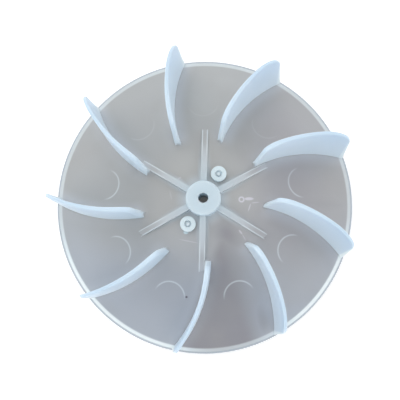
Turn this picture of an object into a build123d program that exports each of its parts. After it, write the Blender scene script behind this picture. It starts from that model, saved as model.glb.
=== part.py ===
"""Centrifugal fan wheel, moulded in one piece: a domed back plate with a turned-down rim,
a bored hub stiffened by radial gussets, two small posts and a ring of swept blades.

Millimetres. The wheel lies on its back on Z = 0, with the shaft axis along +Z and the blades up.
"""
from build123d import *
import math
import os

# Back plate and rim
wheel_diameter = 150.0
wall = 2.0
rim_depth = 5.0
rim_land = 1.9
rim_edge_break = 0.5
plateau_rise = 12.5
plateau_diameter = 74.0
shoulder_break = 5.0

# Hub and shaft bore
shaft_diameter = 5.0
shaft_press = 0.04
hub_diameter = 17.0
hub_rise = 5.5
hub_length = 14.5
hub_edge_break = 0.6

# Blades: strips along an arc, whose two faces draw in from the foot to the top at either end
blade_count = 9
blade_outer_angle = 20.0
blade_sweep_angle = 16.0
blade_arc_radius = 70.0
blade_root_thickness = 3.1
blade_concave_draft_outer = 1.9
blade_concave_draft_inner = 0.4
blade_convex_draft_outer = 0.1
blade_convex_draft_inner = 0.4
blade_top_above_rim = 41.0
blade_inner_diameter = 59.0
blade_inner_lean = 9.5
blade_outer_lean = 3.4
blade_outer_inset = 0.4
blade_inner_corner = 8.0
blade_outer_corner = 14.0

# Gussets from the hub to the back plate
gusset_count = 6
gusset_first_angle = 30.0
gusset_width = 2.9
gusset_reach = 35.0
gusset_end_break = 1.0
gusset_hub_rise = 3.4
gusset_end_rise = 0.5

# Posts beside the hub
post_angles = (60.0, 240.0)
post_circle_radius = 14.4
post_diameter = 7.6
post_rise = 2.4
post_hole_diameter = 3.4
post_hole_depth = 1.8
post_pip_diameter = 1.6
post_pip_height = 1.3

# Round flats left by the ejector pins, one between each two blades
pin_diameter = 15.2
pin_circle_radius = 50.3
pin_after_blade_angle = 31.75
pin_depth = 0.12
pin_tilt = 1.2

# Sizes that follow from the ones above
wheel_radius = wheel_diameter / 2
hub_radius = hub_diameter / 2
plateau_radius = plateau_diameter / 2
cone_foot_radius = wheel_radius - rim_land
bore_radius = (shaft_diameter - shaft_press) / 2
plateau_z = rim_depth + plateau_rise
hub_top_z = plateau_z + hub_rise
hub_bottom_z = hub_top_z - hub_length
blade_top_z = rim_depth + blade_top_above_rim
blade_inner_radius = blade_inner_diameter / 2
cone_slope = plateau_rise / (cone_foot_radius - plateau_radius)
# The wall is measured square to the cone, so it is a little taller along Z
cone_wall_z = wall * math.sqrt(1 + cone_slope**2)
pitch_angle = 360.0 / blade_count


def front_z(radius):
    """Height of the front of the conical plate at a radius."""
    return rim_depth + cone_slope * (cone_foot_radius - radius)


def polar(radius, angle):
    """Point in plan at a radius and an angle in degrees."""
    turn = math.radians(angle)
    return Vector(radius * math.cos(turn), radius * math.sin(turn))


def shaped(points, rounded=(), bevelled=()):
    """Face through the points of an outline, with some of its corners rounded or bevelled."""
    outline = make_face(Polyline(*points, close=True))
    for across, up, size in rounded:
        outline = fillet(outline.vertices().sort_by_distance((across, up, 0))[0], size)
    for across, up, size in bevelled:
        outline = chamfer(outline.vertices().sort_by_distance((across, up, 0))[0], size)
    return outline


def turned(section):
    """Revolve a half section, drawn as radius across and height up."""
    return revolve(Plane.XZ * section, Axis.Z)


def back_plate():
    """Domed plate, turned-down rim and bored hub as one turned body."""
    inner_rim_radius = wheel_radius - wall
    under_z = plateau_z - wall
    points = [
        (bore_radius, hub_bottom_z),
        (hub_radius, hub_bottom_z),
        (hub_radius, under_z),
        (plateau_radius, under_z),
        (inner_rim_radius, front_z(inner_rim_radius) - cone_wall_z),
        (inner_rim_radius, 0),
        (wheel_radius, 0),
        (wheel_radius, rim_depth),
        (cone_foot_radius, rim_depth),
        (plateau_radius, plateau_z),
        (hub_radius, plateau_z),
        (hub_radius, hub_top_z),
        (bore_radius, hub_top_z),
    ]
    bevelled = [
        (hub_radius, hub_bottom_z, hub_edge_break),
        (plateau_radius, under_z, shoulder_break),
        (wheel_radius, rim_depth, rim_edge_break),
        (plateau_radius, plateau_z, shoulder_break),
        (hub_radius, hub_top_z, hub_edge_break),
    ]
    return turned(shaped(points, bevelled=bevelled))


def blade_ends():
    """Plan points where the middle of a blade's foot starts and where it ends."""
    return polar(blade_inner_radius, blade_sweep_angle), polar(wheel_radius, 0)


def blade_face(radius, outer_shift, inner_shift):
    """Cylinder whose wall is one face of a blade. Its axis tilts, so that between the foot and the top
    the wall moves away from the axis by one amount at the blade's outer end and another at its inner end."""
    inner, outer = blade_ends()
    chord = outer - inner
    across = Vector(chord.Y, -chord.X).normalized()
    rise = math.sqrt(blade_arc_radius**2 - (chord.length / 2) ** 2)
    centre = (inner + outer) * 0.5 + across * rise
    to_outer = (outer - centre).normalized()
    to_inner = (inner - centre).normalized()
    spread = to_outer.X * to_inner.Y - to_outer.Y * to_inner.X
    drift_x = (outer_shift * to_inner.Y - inner_shift * to_outer.Y) / spread
    drift_y = (inner_shift * to_outer.X - outer_shift * to_inner.X) / spread
    axis = Vector(drift_x, drift_y, blade_top_above_rim)
    start = Plane(origin=centre + Vector(0, 0, rim_depth) - axis, z_dir=axis)
    return extrude(start * Circle(radius), 3 * axis.length)


def blade_profile():
    """Side view of a blade along its chord: leaning inner edge, level top and rounded outer corner."""
    inner, outer = blade_ends()
    chord = outer - inner
    inner_shift = math.tan(math.radians(blade_inner_lean))
    outer_shift = math.tan(math.radians(blade_outer_lean))
    # The foot is sunk to the middle of the plate's wall, on the plateau and on the cone
    sunk = wall / 2
    flat_end, cone_start = (
        chord.length * (radius - blade_inner_radius) / (wheel_radius - blade_inner_radius)
        for radius in (plateau_radius - shoulder_break, plateau_radius + shoulder_break)
    )
    foot_end = chord.length - blade_outer_inset
    top_start = (blade_top_z - plateau_z) * inner_shift
    top_end = foot_end - blade_top_above_rim * outer_shift
    points = [
        (-sunk * inner_shift, plateau_z - sunk),
        (top_start, blade_top_z),
        (top_end, blade_top_z),
        (foot_end, rim_depth),
        (foot_end, rim_depth - sunk),
        (cone_start, front_z(plateau_radius + shoulder_break) - sunk),
        (flat_end, plateau_z - sunk),
    ]
    rounded = [
        (top_start, blade_top_z, blade_inner_corner),
        (top_end, blade_top_z, blade_outer_corner),
    ]
    along = chord.normalized()
    side_on = Plane(origin=inner, x_dir=along, z_dir=(along.Y, -along.X, 0))
    return extrude(side_on * shaped(points, rounded), blade_arc_radius / 2, both=True)


def blades():
    """All the blades, each the space between two leaning cylinders, cut to its side profile."""
    half = blade_root_thickness / 2
    convex = blade_face(blade_arc_radius + half, -blade_convex_draft_outer, -blade_convex_draft_inner)
    concave = blade_face(blade_arc_radius - half, blade_concave_draft_outer, blade_concave_draft_inner)
    blade = (blade_profile() & convex) - concave
    return [Rot(0, 0, blade_outer_angle + pitch_angle * i) * blade for i in range(blade_count)]


def gussets():
    """Radial gussets that fall from the hub to the plate and end in bevelled corners."""
    half = gusset_width / 2
    start = hub_radius - wall / 2
    corners = [(start, -half), (gusset_reach, -half), (gusset_reach, half), (start, half)]
    bar = shaped(corners, bevelled=[(x, y, gusset_end_break) for x, y in corners[1:3]])
    sunk_z = plateau_z - wall / 2
    points = [
        (start, sunk_z),
        (start, plateau_z + gusset_hub_rise),
        (gusset_reach, plateau_z + gusset_end_rise),
        (gusset_reach, sunk_z),
    ]
    side_view = extrude(Plane.XZ * shaped(points), gusset_width, both=True)
    gusset = extrude(bar, hub_top_z) & side_view
    step = 360.0 / gusset_count
    return [Rot(0, 0, gusset_first_angle + step * i) * gusset for i in range(gusset_count)]


def posts():
    """Two short posts beside the hub, each with a shallow round recess and a pip in its end."""
    height = post_rise + wall / 2
    post = Pos(0, 0, plateau_z - wall / 2) * extrude(Circle(post_diameter / 2), height)
    recess_z = plateau_z + post_rise - post_hole_depth
    recess = Pos(0, 0, recess_z) * extrude(Circle(post_hole_diameter / 2), post_hole_depth)
    pip = Pos(0, 0, recess_z) * extrude(Circle(post_pip_diameter / 2), post_pip_height)
    hollow = post - recess + pip
    return [Rot(0, 0, angle) * Pos(post_circle_radius, 0) * hollow for angle in post_angles]


def pin_flats():
    """Shallow flats in the front of the cone, a little deeper on the side towards the hub."""
    lean = math.atan(cone_slope) - math.radians(pin_tilt)
    middle = Vector(pin_circle_radius, 0, front_z(pin_circle_radius) - pin_depth)
    seat = Plane(origin=middle, x_dir=(0, 1, 0), z_dir=(math.sin(lean), 0, math.cos(lean)))
    pin = extrude(seat * Circle(pin_diameter / 2), wall)
    first = blade_outer_angle + pin_after_blade_angle
    return [Rot(0, 0, first + pitch_angle * i) * pin for i in range(blade_count)]


fan_wheel = back_plate() - pin_flats() + blades() + gussets() + posts()

os.makedirs("parts", exist_ok=True)
export_step(fan_wheel, "parts/fan_wheel.step")
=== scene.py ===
import math

import bmesh
import bpy
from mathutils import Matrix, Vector


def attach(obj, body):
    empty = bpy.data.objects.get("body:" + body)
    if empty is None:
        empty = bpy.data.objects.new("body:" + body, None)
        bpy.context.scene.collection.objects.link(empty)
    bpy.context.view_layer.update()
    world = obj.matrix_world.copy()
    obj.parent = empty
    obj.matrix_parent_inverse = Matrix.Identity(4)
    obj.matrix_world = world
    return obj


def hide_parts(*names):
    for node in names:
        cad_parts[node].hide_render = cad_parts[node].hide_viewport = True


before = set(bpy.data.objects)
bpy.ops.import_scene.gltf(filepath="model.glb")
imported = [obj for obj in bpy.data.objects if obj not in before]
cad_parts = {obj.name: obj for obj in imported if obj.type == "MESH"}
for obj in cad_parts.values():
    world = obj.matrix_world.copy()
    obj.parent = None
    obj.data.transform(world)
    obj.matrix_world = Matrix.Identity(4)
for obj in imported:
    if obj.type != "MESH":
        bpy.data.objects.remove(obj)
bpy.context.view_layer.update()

# Fan wheel, moulded in one piece from natural polypropylene.
# A welded copy of the solid's mesh carries smooth shading, and the edges of the blades are
# rounded on it as the mould leaves them: most at the inner ends, less along the thin tops.
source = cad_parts["fan_wheel"]
wheel_mesh = source.data.copy()
wheel = bpy.data.objects.new("fan_wheel_moulding", wheel_mesh)
wheel.matrix_world = source.matrix_world.copy()
bpy.context.collection.objects.link(wheel)
weld_distance = 0.00001
shell = bmesh.new()
shell.from_mesh(wheel_mesh)
bmesh.ops.remove_doubles(shell, verts=shell.verts, dist=weld_distance)
shell.normal_update()

# Places on the wheel, in metres and degrees: a flat plateau round the hub, a cone that falls
# from it to the rim, the gussets that reach out from the hub, and the ring of blades
rim_height = 0.005
plateau_height = 0.0175
cone_foot_radius = 0.0731
cone_slope = 12.5 / 36.1
first_gusset_angle = 30.0
gusset_pitch = 60.0
first_blade_angle = 20.0
blade_middle_angle = 28.0
blade_pitch = 40.0
chord_turn = -9.9

# Limits that tell a blade's faces from those of the plate and the gussets
blades_start_radius = 0.0285
plate_margin = 0.0003
gusset_side_limit = 0.0017
gusset_end_limit = 0.0360
gusset_top_limit = 0.0200
edge_face_limit = 0.35


def across_blade(point):
    """Level direction square to the chord of the blade that a point belongs to."""
    turn = math.degrees(math.atan2(point.y, point.x))
    number = round((turn - blade_middle_angle) / blade_pitch)
    square_turn = math.radians(first_blade_angle + blade_pitch * number + chord_turn - 90)
    return Vector((math.cos(square_turn), math.sin(square_turn), 0.0))


def blade_part(face):
    """Whether a face is on the edge of a blade, on a blade's side, or elsewhere on the wheel."""
    middle = face.calc_center_median()
    reach = middle.xy.length
    cone_height = rim_height + (cone_foot_radius - reach) * cone_slope
    front = min(plateau_height, max(rim_height, cone_height))
    from_gusset = math.degrees(math.atan2(middle.y, middle.x)) % gusset_pitch - first_gusset_angle
    beside_gusset = abs(math.sin(math.radians(from_gusset))) * reach
    in_gusset_width = beside_gusset < gusset_side_limit and reach < gusset_end_limit
    on_gusset_bar = in_gusset_width and middle.z < gusset_top_limit
    if reach < blades_start_radius or middle.z < front + plate_margin or on_gusset_bar:
        return "plate"
    square_on = abs(face.normal.dot(across_blade(middle)))
    return "edge" if square_on < edge_face_limit else "side"


# A ring is cut round each blade just above its inner foot: the rounding starts there, so that
# the foot stays where it meets the plate
foot_fade = 0.0008
foot_cut_height = plateau_height + foot_fade
inner_foot_radius = 0.0330
foot_faces = []
for face in shell.faces:
    lowest = min(vertex.co.z for vertex in face.verts)
    nearest = min(vertex.co.xy.length for vertex in face.verts)
    if blade_part(face) != "plate" and lowest < foot_cut_height and nearest < inner_foot_radius:
        foot_faces.append(face)
foot_edges = dict.fromkeys(edge for face in foot_faces for edge in face.edges)
foot_points = dict.fromkeys(vertex for face in foot_faces for vertex in face.verts)
bmesh.ops.bisect_plane(
    shell, geom=[*foot_faces, *foot_edges, *foot_points], dist=weld_distance,
    plane_co=(0.0, 0.0, foot_cut_height), plane_no=(0.0, 0.0, 1.0),
)
shell.normal_update()

# The narrow faces round a blade, up its inner end, along its top and down its outer end, stand
# square to its chord. They are divided across, and each point keeps its place from side to side
edge_cuts = 5
part_of = {face: blade_part(face) for face in shell.faces}
spread = shell.verts.layers.float.new("spread")
half_thickness = shell.verts.layers.float.new("half_thickness")
on_edge = shell.verts.layers.float.new("on_edge")
crossing = []
for edge in shell.edges:
    if [part_of[face] for face in edge.link_faces] != ["edge", "edge"]:
        continue
    crossing.append(edge)
    first, second = edge.verts
    width = (second.co - first.co).dot(across_blade(first.co))
    for vertex, side in ((first, -width), (second, width)):
        vertex[on_edge] = 1.0
        vertex[spread] = math.copysign(1.0, side)
        vertex[half_thickness] = max(vertex[half_thickness], abs(width) / 2)
bmesh.ops.subdivide_edges(shell, edges=crossing, cuts=edge_cuts)
shell.normal_update()

# The points sink from the middle of the edge to its sides, along a quarter of a wave on either
# hand, and the outermost ones stay in the faces beside the edge
wholly = 0.99
edge_crown = 0.0005
inner_end_crown = 0.0004
inner_end_radius = 0.0385
inner_end_fade = 0.006
outer_foot_radius = 0.060
outer_foot_height = 0.0080


def share(distance, span):
    """Part of a span that a distance makes up, from none to all of it."""
    return min(max(distance / span, 0.0), 1.0)


part_of = {face: blade_part(face) for face in shell.faces}
moves = {}
for vertex in shell.verts:
    if vertex[on_edge] < wholly:
        continue
    outward = Vector()
    for face in vertex.link_faces:
        if part_of[face] == "edge":
            outward += face.normal
    outward.normalize()
    reach = vertex.co.xy.length
    foot_height = plateau_height if reach < outer_foot_radius else outer_foot_height
    clear_of_foot = share(vertex.co.z - foot_height, foot_fade)
    crown = edge_crown + inner_end_crown * share(inner_end_radius - reach, inner_end_fade)
    bend = vertex[spread] * math.pi / 2
    shift = across_blade(vertex.co) * (math.sin(bend) - vertex[spread]) * vertex[half_thickness]
    move = (shift - outward * crown * (1 - math.cos(bend))) * clear_of_foot
    for face in vertex.link_faces:
        if part_of[face] == "side":
            move -= face.normal * move.dot(face.normal)
    moves[vertex] = move

# Near the inner ends, the points on the sides of a blade are drawn along with the nearest corner
ends_radius = 0.0400
drawn_length = 0.004
end_points = []
for vertex in moves:
    if abs(vertex[spread]) > wholly and vertex.co.xy.length < ends_radius:
        end_points.append(vertex)
for vertex in shell.verts:
    beside = any(part_of[face] == "side" for face in vertex.link_faces)
    above_foot = vertex.co.z > foot_cut_height - weld_distance
    near_end = vertex.co.xy.length <= ends_radius + drawn_length
    if vertex in moves or not (beside and above_foot and near_end):
        continue
    corner = min(end_points, key=lambda point: (point.co - vertex.co).length)
    pull = 1 - (corner.co - vertex.co).length / drawn_length
    if pull > 0:
        moves[vertex] = moves[corner] * pull
for vertex, move in moves.items():
    vertex.co += move
shell.normal_update()

# Smooth shading, with a crease where the edge of a blade ends and at sharp corners elsewhere
crease_angle = math.radians(28)
for face in shell.faces:
    face.smooth = True
for edge in shell.edges:
    parts = [part_of[face] for face in edge.link_faces]
    if "edge" in parts:
        edge.smooth = parts == ["edge", "edge"]
    else:
        edge.smooth = edge.calc_face_angle(0.0) < crease_angle
shell.to_mesh(wheel_mesh)
shell.free()

# Milky plastic of the wheel: thick sections scatter the light and look bluish white, and the thin
# plate lets it through to the dark hollow behind and looks grey. This light and shade is painted into
# the colour, which follows the depth of plastic at a point, worked out from the places of the plate's
# section.
plastic = bpy.data.materials.new("milky_plastic")
plastic.use_nodes = True
nodes = plastic.node_tree.nodes
links = plastic.node_tree.links
shader = nodes["Principled BSDF"]
place = nodes.new("ShaderNodeTexCoord").outputs["Object"]


def math_node(operation, first, second=0.0, clamp=False):
    node = nodes.new("ShaderNodeMath")
    node.operation = operation
    node.use_clamp = clamp
    for socket, value in zip(node.inputs, (first, second)):
        if isinstance(value, float):
            socket.default_value = value
        else:
            links.new(value, socket)
    return node.outputs[0]


def scaled(value, factor, base=None):
    """A value times a factor, on top of a base where one is given."""
    product = math_node("MULTIPLY", value, factor)
    return product if base is None else math_node("ADD", product, base)


def all_of(*masks):
    result = masks[0]
    for mask in masks[1:]:
        result = math_node("MULTIPLY", result, mask)
    return result


def largest(*masks):
    result = masks[0]
    for mask in masks[1:]:
        result = math_node("MAXIMUM", result, mask)
    return result


def ramp_between(value, zero_at, one_at):
    """Smooth mask that goes from none to all of it between two values, in either order."""
    node = nodes.new("ShaderNodeMapRange")
    node.interpolation_type = "SMOOTHSTEP"
    links.new(value, node.inputs["Value"])
    node.inputs["From Min"].default_value = zero_at
    node.inputs["From Max"].default_value = one_at
    return node.outputs["Result"]


def band(value, middle, half_width, soft):
    distance = math_node("ABSOLUTE", math_node("SUBTRACT", value, middle))
    return ramp_between(distance, half_width + soft, half_width)


def noise(scale, detail, roughness):
    node = nodes.new("ShaderNodeTexNoise")
    links.new(place, node.inputs["Vector"])
    node.inputs["Scale"].default_value = scale
    node.inputs["Detail"].default_value = detail
    node.inputs["Roughness"].default_value = roughness
    return node.outputs["Fac"]


def colour_mix(factor, first, second):
    node = nodes.new("ShaderNodeMix")
    node.data_type = "RGBA"
    colours = [socket for socket in node.inputs if socket.type == "RGBA"]
    links.new(factor, node.inputs["Factor"])
    for socket, value in zip(colours, (first, second)):
        if isinstance(value, tuple):
            socket.default_value = value
        else:
            links.new(value, socket)
    return [socket for socket in node.outputs if socket.type == "RGBA"][0]


# Radius and angle round the axis, and height above the front of the plate
shoulder_start_radius = 0.032
shoulder_slope = 0.168
split = nodes.new("ShaderNodeSeparateXYZ")
links.new(place, split.inputs[0])
across_x, across_y, height = split.outputs
flat = nodes.new("ShaderNodeCombineXYZ")
links.new(across_x, flat.inputs["X"])
links.new(across_y, flat.inputs["Y"])
flat_place = flat.outputs[0]
distance_node = nodes.new("ShaderNodeVectorMath")
distance_node.operation = "LENGTH"
links.new(flat_place, distance_node.inputs[0])
radius = distance_node.outputs["Value"]
angle = math_node("ARCTAN2", across_y, across_x)
cone = scaled(math_node("SUBTRACT", cone_foot_radius, radius), cone_slope, rim_height)
shoulder_drop = scaled(math_node("SUBTRACT", radius, shoulder_start_radius), shoulder_slope)
shoulder = math_node("SUBTRACT", plateau_height, shoulder_drop)
plate_front = math_node("MINIMUM", math_node("MINIMUM", cone, shoulder), plateau_height)
above_plate = math_node("SUBTRACT", height, plate_front)


def folded_angle(first_angle, step):
    """Angle from the nearest of the directions that stand a step apart."""
    turned = math_node("SUBTRACT", angle, math.radians(first_angle))
    node = nodes.new("ShaderNodeMath")
    node.operation = "WRAP"
    links.new(turned, node.inputs[0])
    node.inputs[1].default_value = math.radians(step / 2)
    node.inputs[2].default_value = math.radians(-step / 2)
    return node.outputs[0]


def along_turn(turn):
    return math_node("MULTIPLY", math_node("COSINE", turn), radius)


def across_turn(turn):
    return math_node("MULTIPLY", math_node("SINE", turn), radius)


def flat_length(first, second):
    squares = math_node("ADD", math_node("POWER", first, 2.0), math_node("POWER", second, 2.0))
    return math_node("SQRT", squares)


def toward(x, y):
    """Distance from the axis in one level direction."""
    node = nodes.new("ShaderNodeVectorMath")
    node.operation = "DOT_PRODUCT"
    links.new(flat_place, node.inputs[0])
    node.inputs[1].default_value = (x, y, 0.0)
    return node.outputs["Value"]


def spot(x, y, turn, half_length, half_width, core=0.5):
    """Soft oval mark, whole out to the core's share of its size."""
    mapping = nodes.new("ShaderNodeMapping")
    mapping.vector_type = "TEXTURE"
    mapping.inputs["Location"].default_value = (x, y, 0.0)
    mapping.inputs["Rotation"].default_value = (0.0, 0.0, math.radians(turn))
    mapping.inputs["Scale"].default_value = (half_length, half_width, 1.0)
    links.new(flat_place, mapping.inputs["Vector"])
    length = nodes.new("ShaderNodeVectorMath")
    length.operation = "LENGTH"
    links.new(mapping.outputs["Vector"], length.inputs[0])
    return ramp_between(length.outputs["Value"], 1.0, core)


# Depth of plastic: whole in the blades, the posts and the hub, and less in the gussets, which fade
# towards their outer ends and sit in a milky haze around the hub. Beside the gussets the haze is also
# painted light that lifts the shade at their feet.
hub_radius = 0.0085
gusset_reach = 0.0350
blade_depth = 0.0008
gusset_depth = 0.0045
skin = 0.0002
hub_haze_level = 0.40
gusset_haze_and_light_level = 0.60
gusset_core_level = 0.60
gusset_offset = math_node("ABSOLUTE", across_turn(folded_angle(first_gusset_angle, gusset_pitch)))
gusset_end = ramp_between(radius, gusset_reach + 0.0006, gusset_reach)
on_gusset = all_of(ramp_between(gusset_offset, 0.0018, 0.0015), gusset_end)
whole_depth = scaled(on_gusset, gusset_depth - blade_depth, blade_depth)
raised = math_node("DIVIDE", math_node("SUBTRACT", above_plate, skin), whole_depth, clamp=True)
hub_solid = ramp_between(radius, hub_radius + 0.0004, hub_radius)
hub_haze = scaled(ramp_between(radius, 0.0150, hub_radius), hub_haze_level)
gusset_haze_and_light = all_of(ramp_between(gusset_offset, 0.0040, 0.0012), ramp_between(radius, 0.0340, 0.0080))
haze = largest(hub_haze, scaled(gusset_haze_and_light, gusset_haze_and_light_level))
gusset_middle = ramp_between(gusset_offset, 0.0011, 0.0005)
gusset_core = all_of(gusset_middle, on_gusset, ramp_between(radius, 0.021, 0.031))
gusset_clear = math_node("SUBTRACT", 1.0, scaled(gusset_core, gusset_core_level))
thick = all_of(largest(raised, hub_solid, haze), gusset_clear)

# Colour of the thin plate: bluish at the bottom, greyer at the top and the left, a little violet
# at the right, and bluer again towards the rim
plate_low = (0.421, 0.444, 0.491, 1.0)
plate_high = (0.472, 0.481, 0.477, 1.0)
plate_left = (0.428, 0.434, 0.434, 1.0)
plate_right = (0.426, 0.412, 0.431, 1.0)
rim_low = (0.425, 0.470, 0.530, 1.0)
rim_high = (0.440, 0.455, 0.462, 1.0)
rim_tint_level = 0.6
plate_colour = colour_mix(ramp_between(across_y, -0.055, 0.010), plate_low, plate_high)
at_right = all_of(ramp_between(across_x, 0.005, 0.045), ramp_between(across_y, -0.045, -0.010))
plate_colour = colour_mix(at_right, plate_colour, plate_right)
at_left = all_of(ramp_between(across_x, 0.000, -0.035), ramp_between(across_y, -0.035, -0.005))
plate_colour = colour_mix(at_left, plate_colour, plate_left)
rim_colour = colour_mix(ramp_between(across_y, -0.030, 0.010), rim_low, rim_high)
near_rim = scaled(ramp_between(radius, 0.045, 0.072), rim_tint_level)
plate_colour = colour_mix(near_rim, plate_colour, rim_colour)

# The plate is darkest in a broad patch of painted shade along one blade below the hub, with a painted
# shadow at the hub and one at the rim, and thin warm clouds lie over all of it
plate_shade = (0.300, 0.299, 0.328, 1.0)
plate_warm = (0.389, 0.375, 0.370, 1.0)
hub_shadow_level = 0.95
rim_shadow_level = 0.60
cloud_level = 0.30
beside_blade = ramp_between(toward(0.941, -0.340), 0.0119, 0.0175)
patch_fading = ramp_between(toward(-0.945, -0.325), -0.0126, 0.0020)
shade_patch = all_of(beside_blade, patch_fading, ramp_between(across_y, -0.004, -0.018))
hub_shadow = scaled(spot(0.0120, -0.0170, -50.0, 0.0120, 0.0090, core=0.0), hub_shadow_level)
rim_shadow = scaled(spot(0.0310, -0.0590, -65.0, 0.0130, 0.0070, core=0.0), rim_shadow_level)
plate_colour = colour_mix(largest(shade_patch, hub_shadow, rim_shadow), plate_colour, plate_shade)
clouded = scaled(ramp_between(noise(26.0, 3.0, 0.55), 0.45, 0.70), cloud_level)
plate_colour = colour_mix(clouded, plate_colour, plate_warm)

# The plate is painted lighter beside the roots of the blades, as light led down through them would
# make it, lifting the shade at their feet, most on the hollow side; the offset is the distance from
# the arc along the middle of a blade's root
arc_centre_along = 0.0315
arc_centre_across = 0.0659
arc_radius = 0.070
root_light_level = 0.30
plate_lit = (0.600, 0.630, 0.675, 1.0)
blade_turn = folded_angle(blade_middle_angle, blade_pitch)
blade_along = math_node("SUBTRACT", along_turn(blade_turn), arc_centre_along)
blade_across = math_node("ADD", across_turn(blade_turn), arc_centre_across)
blade_offset = math_node("SUBTRACT", flat_length(blade_along, blade_across), arc_radius)
hollow_level = scaled(ramp_between(across_y, -0.045, 0.010), 0.40, 0.20)
on_hollow = all_of(ramp_between(blade_offset, 0.0005, -0.0005), hollow_level)
root_level = math_node("ADD", on_hollow, root_light_level)
beside_root = ramp_between(math_node("ABSOLUTE", blade_offset), 0.0085, -0.0010)
root_light = all_of(beside_root, root_level, ramp_between(radius, 0.0270, 0.0330))
plate_colour = colour_mix(root_light, plate_colour, plate_lit)

# Colour of the thick parts, with the same painted light and shade: whitest at the root of a blade,
# bluer at its thin top and tip, and greyer on the hub; the posts are whiter, their recesses are
# painted lighter against the shade in them, and a painted reflection of one post lies beside it
blade_rise_height = 0.034
blade_root = (0.730, 0.826, 0.898, 1.0)
blade_tip = (0.498, 0.627, 0.757, 1.0)
hub_white = (0.556, 0.667, 0.741, 1.0)
post_white = (0.660, 0.790, 0.850, 1.0)
recess_light = (0.800, 0.900, 0.960, 1.0)
post_places = ((0.0072, 0.0125), (-0.0072, -0.0125))
post_radius = 0.0041
recess_radius = 0.0018
post_reflection_level = 0.90


def at_posts(disc_radius):
    return largest(*(spot(x, y, 0.0, disc_radius, disc_radius, core=0.9) for x, y in post_places))


blade_rise = math_node("DIVIDE", above_plate, blade_rise_height, clamp=True)
blade_thinning = scaled(ramp_between(radius, 0.045, 0.075), 0.3, 0.7)
thick_colour = colour_mix(all_of(blade_rise, blade_thinning), blade_root, blade_tip)
hub_face = all_of(ramp_between(radius, 0.0300, 0.0120), ramp_between(above_plate, 0.0005, 0.0030))
thick_colour = colour_mix(hub_face, thick_colour, hub_white)
on_posts = at_posts(post_radius)
thick_colour = colour_mix(on_posts, thick_colour, post_white)
body_colour = colour_mix(thick, plate_colour, thick_colour)
# Painted light in the post recesses, against the shade in them
body_colour = colour_mix(at_posts(recess_radius), body_colour, recess_light)
# Painted reflection of the lower post on the plate beside it
post_reflection = scaled(spot(-0.0081, -0.0164, 0.0, 0.0016, 0.0011), post_reflection_level)
body_colour = colour_mix(post_reflection, body_colour, post_white)

# Painted highlights as pale lines: along the gusset edges, round the corner of the rim, strongest at
# two turns of it, and on the hub side of each ejector-pin flat, stronger lower down; and painted shade
# on the outermost edge of the rim
highlight_pale = (0.890, 0.970, 1.000, 1.0)
rim_shade = (0.370, 0.417, 0.472, 1.0)
gusset_highlight_level = 0.40
first_pin_angle = 51.75
pin_circle_radius = 0.0503
pin_radius = 0.0076
rim_corner_radius = 0.0733
on_front = ramp_between(above_plate, -0.0012, -0.0006)
gusset_side = band(gusset_offset, 0.00125, 0.00012, 0.0003)
gusset_edge_highlight = all_of(gusset_side, ramp_between(radius, 0.019, 0.025), gusset_end)
pin_turn = folded_angle(first_pin_angle, blade_pitch)
pin_along = math_node("SUBTRACT", along_turn(pin_turn), pin_circle_radius)
pin_circle = band(flat_length(pin_along, across_turn(pin_turn)), pin_radius, 0.00015, 0.0004)
pin_highlight_level = scaled(ramp_between(across_y, 0.040, 0.000), 0.30, 0.05)
pin_arc_highlight = all_of(pin_circle, ramp_between(pin_along, -0.0005, -0.0050), on_front, pin_highlight_level)
rim_highlight_turns = largest(band(angle, -2.23, 0.35, 0.45), band(angle, -0.63, 0.18, 0.35))
rim_highlight_level = scaled(rim_highlight_turns, 0.53, 0.47)
rim_highlight = all_of(band(radius, rim_corner_radius, 0.0004, 0.0009), on_front, rim_highlight_level)
highlights = largest(scaled(gusset_edge_highlight, gusset_highlight_level), pin_arc_highlight, rim_highlight)
# Painted shade on the outermost edge of the rim, where it turns under
body_colour = colour_mix(ramp_between(radius, 0.0739, 0.0744), body_colour, rim_shade)
body_colour = colour_mix(highlights, body_colour, highlight_pale)

# Marks of handling on the plate: a ring, scuffs and scratches beside the hub, and a dark speck
# near the rim. Each scuff has its place, its turn, half its length and width, and its strength
scuff_colour = (0.704, 0.694, 0.759, 1.0)
speck_colour = (0.110, 0.100, 0.130, 1.0)
scuffs = (
    (0.0222, 0.0007, 2.0, 0.0029, 0.0010, 0.85),
    (0.0225, -0.0036, 72.5, 0.0026, 0.0004, 0.55),
    (0.0254, -0.0011, 7.6, 0.0025, 0.0004, 0.45),
    (0.0184, -0.0157, -52.0, 0.0017, 0.0006, 0.55),
    (0.0201, -0.0183, -59.0, 0.0022, 0.0004, 0.35),
    (-0.0065, -0.0207, -10.2, 0.0060, 0.0004, 0.35),
    (-0.0120, 0.0103, 35.0, 0.0013, 0.0006, 0.45),
    (-0.0161, 0.0018, -77.0, 0.0030, 0.0005, 0.20),
)
ring_outside = spot(0.0186, 0.0003, 0.0, 0.0019, 0.0019)
ring_inside = spot(0.0186, 0.0003, 0.0, 0.0011, 0.0011)
scuffed = math_node("SUBTRACT", ring_outside, ring_inside)
for x, y, turn, half_length, half_width, strength in scuffs:
    scuffed = largest(scuffed, scaled(spot(x, y, turn, half_length, half_width), strength))
body_colour = colour_mix(all_of(scuffed, on_front), body_colour, scuff_colour)
speck = spot(-0.0072, -0.0475, 0.0, 0.0009, 0.0008, core=0.2)
body_colour = colour_mix(speck, body_colour, speck_colour)
links.new(body_colour, shader.inputs["Base Color"])

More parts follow.
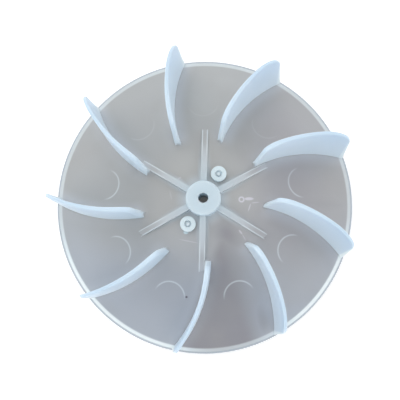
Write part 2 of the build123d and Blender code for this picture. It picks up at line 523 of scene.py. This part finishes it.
# Light goes deepest into the hub and the posts, and the surface has the fine grain of the mould
thin_scatter = 0.002
hub_scatter = 0.008
post_scatter = 0.004
shader.inputs["Subsurface Weight"].default_value = 0.5
shader.inputs["Subsurface Radius"].default_value = (1.0, 1.0, 1.0)
in_hub = ramp_between(radius, hub_radius + 0.001, hub_radius - 0.001)
solid_scatter = largest(scaled(in_hub, hub_scatter), scaled(on_posts, post_scatter))
links.new(math_node("ADD", solid_scatter, thin_scatter), shader.inputs["Subsurface Scale"])
shader.inputs["IOR"].default_value = 1.49
grain = noise(900.0, 4.0, 0.6)
roughness_spread = nodes.new("ShaderNodeMapRange")
links.new(grain, roughness_spread.inputs["Value"])
roughness_spread.inputs["To Min"].default_value = 0.34
roughness_spread.inputs["To Max"].default_value = 0.50
links.new(roughness_spread.outputs["Result"], shader.inputs["Roughness"])
relief = nodes.new("ShaderNodeBump")
relief.inputs["Strength"].default_value = 0.12
relief.inputs["Distance"].default_value = 0.0002
links.new(grain, relief.inputs["Height"])
links.new(relief.outputs["Normal"], shader.inputs["Normal"])
wheel_mesh.materials.clear()
wheel_mesh.materials.append(plastic)
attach(wheel, "root")
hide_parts("fan_wheel")

# Pale sweep that the wheel lies on: a wide flat sheet of white paper.
# It photographs as the plain white ground, and it keeps a faint contact shadow.
sheet_half_width = 1.2
sheet = bmesh.new()
bmesh.ops.create_grid(sheet, x_segments=1, y_segments=1, size=sheet_half_width)
floor_mesh = bpy.data.meshes.new("paper_sweep")
sheet.to_mesh(floor_mesh)
sheet.free()
floor = bpy.data.objects.new("paper_sweep", floor_mesh)
bpy.context.collection.objects.link(floor)
paper = bpy.data.materials.new("white_paper")
paper.use_nodes = True
paper_nodes = paper.node_tree.nodes
paper_links = paper.node_tree.links
paper_shader = paper_nodes["Principled BSDF"]
paper_shader.inputs["Base Color"].default_value = (0.90, 0.90, 0.90, 1.0)
paper_shader.inputs["Roughness"].default_value = 0.9
paper_shader.inputs["Specular IOR Level"].default_value = 0.0
paper_shader.inputs["Emission Color"].default_value = (1.0, 1.0, 1.0, 1.0)


def seen_rays(tree):
    """Mask of the rays that show a thing itself, straight on, mirrored or through the plastic."""
    ray = tree.nodes.new("ShaderNodeLightPath")
    seen = ray.outputs["Is Camera Ray"]
    for name in ("Is Glossy Ray", "Is Transmission Ray"):
        either = tree.nodes.new("ShaderNodeMath")
        either.operation = "MAXIMUM"
        tree.links.new(seen, either.inputs[0])
        tree.links.new(ray.outputs[name], either.inputs[1])
        seen = either.outputs[0]
    return seen


# The paper glows a little where it lies open, and hardly at all under the wheel
footprint = paper_nodes.new("ShaderNodeVectorMath")
footprint.operation = "LENGTH"
paper_links.new(paper_nodes.new("ShaderNodeTexCoord").outputs["Object"], footprint.inputs[0])
open_paper = paper_nodes.new("ShaderNodeMapRange")
open_paper.inputs["From Min"].default_value = 0.070
open_paper.inputs["From Max"].default_value = 0.074
open_paper.inputs["To Min"].default_value = 0.06
open_paper.inputs["To Max"].default_value = 0.30
paper_links.new(footprint.outputs["Value"], open_paper.inputs["Value"])
glow = paper_nodes.new("ShaderNodeMath")
glow.operation = "MULTIPLY"
paper_links.new(seen_rays(paper.node_tree), glow.inputs[0])
paper_links.new(open_paper.outputs["Result"], glow.inputs[1])
paper_links.new(glow.outputs[0], paper_shader.inputs["Emission Strength"])
floor_mesh.materials.append(paper)

# Soft studio light: a pale surround that is brightest near the horizon, so that it reaches
# in between the blades, and one weak broad box above the far left.
key_data = bpy.data.lights.new("soft_box", "AREA")
key_data.shape = "RECTANGLE"
key_data.size = 1.0
key_data.size_y = 0.8
key_data.energy = 1.7
key = bpy.data.objects.new("soft_box", key_data)
key.location = (-0.45, 0.55, 0.95)
key.rotation_euler = Vector(key.location).to_track_quat("Z", "Y").to_euler()
bpy.context.collection.objects.link(key)
world = bpy.data.worlds.new("pale_surround")
world.use_nodes = True
sky_nodes = world.node_tree.nodes
sky_links = world.node_tree.links
sky = sky_nodes["Background"]
sky.inputs["Color"].default_value = (1.0, 1.0, 1.0, 1.0)
sky_direction = sky_nodes.new("ShaderNodeSeparateXYZ")
sky_links.new(sky_nodes.new("ShaderNodeTexCoord").outputs["Generated"], sky_direction.inputs[0])
sky_level = sky_nodes.new("ShaderNodeMapRange")
sky_level.inputs["To Min"].default_value = 1.96
sky_level.inputs["To Max"].default_value = 0.54
sky_links.new(sky_direction.outputs["Z"], sky_level.inputs["Value"])
sky_seen = sky_nodes.new("ShaderNodeMix")
sky_links.new(seen_rays(world.node_tree), sky_seen.inputs["Factor"])
sky_links.new(sky_level.outputs["Result"], sky_seen.inputs["A"])
sky_seen.inputs["B"].default_value = 1.0
sky_links.new(sky_seen.outputs["Result"], sky.inputs["Strength"])
bpy.context.scene.world = world

# Camera held above the wheel, a little in front of the axis and almost square to it.
# The focal length is the one that makes the blades splay outwards as they do in the photograph.
camera_data = bpy.data.cameras.new("photo_camera")
camera_data.sensor_width = 36.0
camera_data.lens = 56.7
camera = bpy.data.objects.new("photo_camera", camera_data)
camera.location = (0.00758, -0.04401, 0.32247)
camera.rotation_euler = (math.radians(8.177), math.radians(1.54), math.radians(1.378))
bpy.context.collection.objects.link(camera)
bpy.context.scene.camera = camera
bpy.context.scene.view_settings.view_transform = "Standard"
